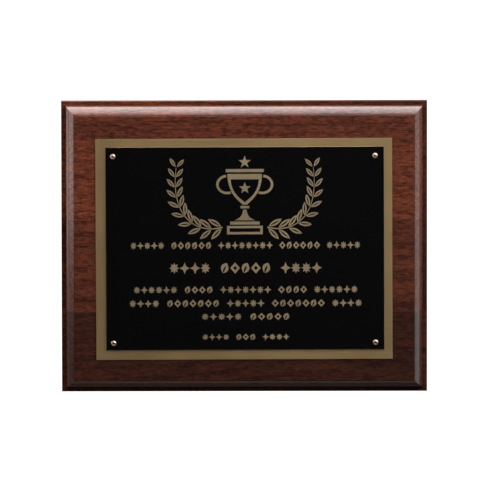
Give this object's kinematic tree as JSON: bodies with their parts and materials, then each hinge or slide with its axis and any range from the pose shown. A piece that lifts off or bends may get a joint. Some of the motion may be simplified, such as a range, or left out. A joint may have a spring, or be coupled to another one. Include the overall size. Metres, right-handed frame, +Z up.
{
  "type": "wooden plaque",
  "caption": "Wall plaque: an edge-glued walnut board with a moulded edge, a brass backing plate, a black engraved plate, brass round-head screws and a recessed keyhole hanger.",
  "frame": {"origin": "centre of the board's flat back, which lies against the wall", "axes": "+X along the board's width to the viewer's right, +Y out of the back into the wall, +Z up; the face looks along -Y"},
  "size_m": [0.254, 0.022, 0.2032],
  "materials": {
    "walnut": "satin lacquer",
    "brass_plate": "fine brushed, satin",
    "black_lacquer": "satin black lacquer over brass",
    "screw_brass": "polished",
    "hanger_steel": "zinc plated"
  },
  "bodies": {
    "root": {"top_stave": "walnut", "upper_stave": "walnut", "lower_stave": "walnut", "bottom_stave": "walnut", "brass_backing_plate": "brass_plate", "engraved_plate": "black_lacquer", "plate_screw_top_left": "screw_brass", "plate_screw_top_right": "screw_brass", "plate_screw_bottom_left": "screw_brass", "plate_screw_bottom_right": "screw_brass", "keyhole_hanger": "hanger_steel", "hanger_screw_left": "hanger_steel", "hanger_screw_right": "hanger_steel"}
  },
  "joints": []
}
